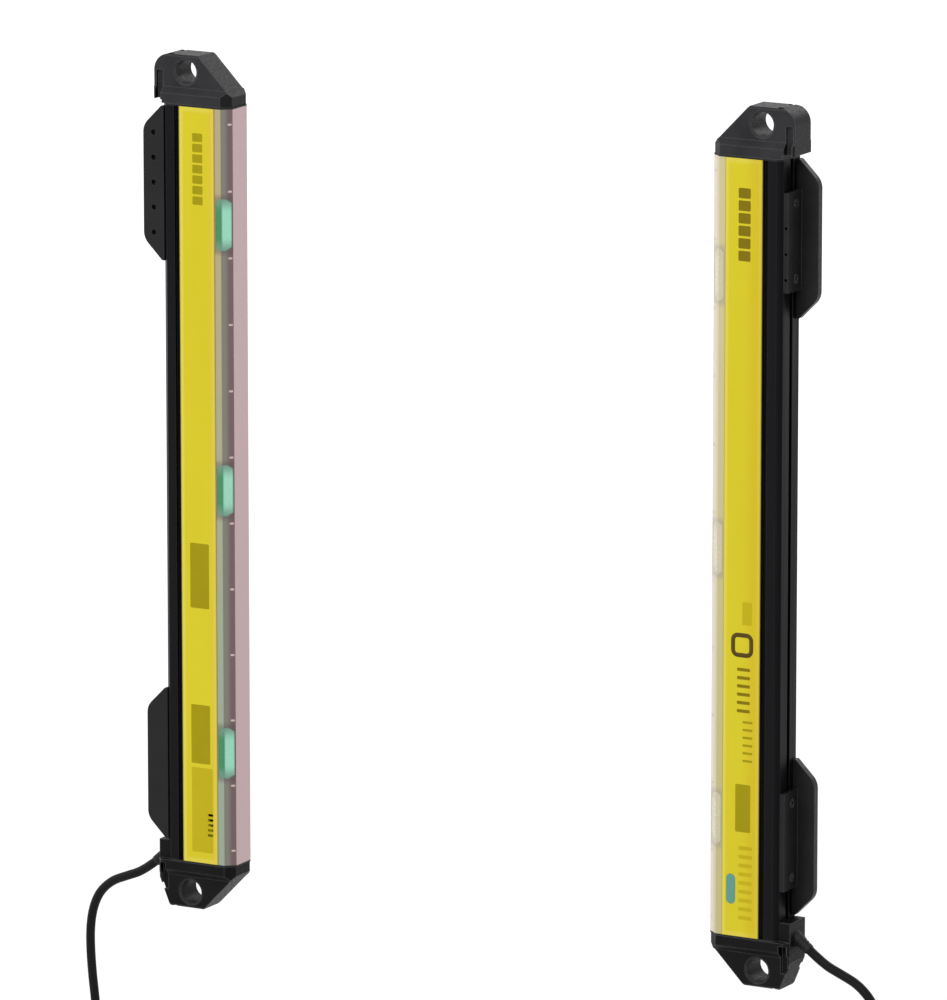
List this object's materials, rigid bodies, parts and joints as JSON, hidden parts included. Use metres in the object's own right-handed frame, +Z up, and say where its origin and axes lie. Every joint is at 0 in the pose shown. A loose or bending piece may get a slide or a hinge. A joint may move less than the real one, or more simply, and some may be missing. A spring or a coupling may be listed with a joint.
{
  "type": "safety light curtain",
  "caption": "Emitter and receiver bars of a safety light curtain facing each other, with yellow sides, slanted windows, drilled end caps, side brackets and hanging cables",
  "frame": {"origin": "centre of the four end-cap mounting holes, at mid thickness", "axes": "+X from the emitter to the receiver, +Y through the mounting holes, +Z up along the bars"},
  "size_m": [0.5588, 0.0266, 0.7089],
  "materials": {
    "black_anodised": "satin black anodised extrusion",
    "yellow_paint": "safety yellow, satin",
    "emitter_window_plastic": "smoked pinkish grey, smooth",
    "receiver_window_plastic": "pale cream, smooth",
    "emitter_lamp_plastic": "green, lit",
    "receiver_lamp_plastic": "cream, unlit",
    "clear_plastic": "clear moulding",
    "board_green": "circuit board laminate",
    "inner_plastic": "matt black moulding",
    "cap_plastic": "fine-grained dark grey moulding",
    "gasket_rubber": "black rubber",
    "plain_steel": "zinc-plated steel",
    "bracket_metal": "satin black",
    "soft_rubber": "moulded black rubber",
    "cable_jacket": "black cable jacket",
    "contact_brass": "gilt contact",
    "status_teal": "teal lens"
  },
  "bodies": {
    "root": {"emitter_housing": "black_anodised", "emitter_front_panel": "yellow_paint", "emitter_rear_panel": "yellow_paint", "emitter_window": "emitter_window_plastic", "emitter_lamp_lenses": "emitter_lamp_plastic", "emitter_light_pipes": "clear_plastic", "emitter_indicator_diodes": "clear_plastic", "emitter_circuit_board": "board_green", "emitter_optics_carrier": "inner_plastic", "emitter_lenses": "clear_plastic", "emitter_top_cap": "cap_plastic", "emitter_bottom_cap": "cap_plastic", "emitter_top_gasket": "gasket_rubber", "emitter_bottom_gasket": "gasket_rubber", "emitter_cap_screws": "plain_steel", "emitter_upper_bracket": "bracket_metal", "emitter_lower_bracket": "bracket_metal", "emitter_bracket_screws": "plain_steel", "emitter_slot_nuts": "plain_steel", "emitter_strain_relief": "soft_rubber", "emitter_cable": "cable_jacket", "emitter_plug_body": "cap_plastic", "emitter_plug_contacts": "contact_brass", "emitter_plug_seal": "gasket_rubber", "emitter_infrared_diodes": "clear_plastic", "receiver_housing": "black_anodised", "receiver_front_panel": "yellow_paint", "receiver_rear_panel": "yellow_paint", "receiver_window": "receiver_window_plastic", "receiver_lamp_lenses": "receiver_lamp_plastic", "receiver_light_pipes": "clear_plastic", "receiver_indicator_diodes": "clear_plastic", "receiver_circuit_board": "board_green", "receiver_optics_carrier": "inner_plastic", "receiver_lenses": "clear_plastic", "receiver_top_cap": "cap_plastic", "receiver_bottom_cap": "cap_plastic", "receiver_top_gasket": "gasket_rubber", "receiver_bottom_gasket": "gasket_rubber", "receiver_cap_screws": "plain_steel", "receiver_upper_bracket": "bracket_metal", "receiver_lower_bracket": "bracket_metal", "receiver_bracket_screws": "plain_steel", "receiver_slot_nuts": "plain_steel", "receiver_strain_relief": "soft_rubber", "receiver_cable": "cable_jacket", "receiver_plug_body": "cap_plastic", "receiver_plug_contacts": "contact_brass", "receiver_plug_seal": "gasket_rubber", "receiver_photodiodes": "inner_plastic", "receiver_status_lens": "status_teal"}
  },
  "joints": []
}
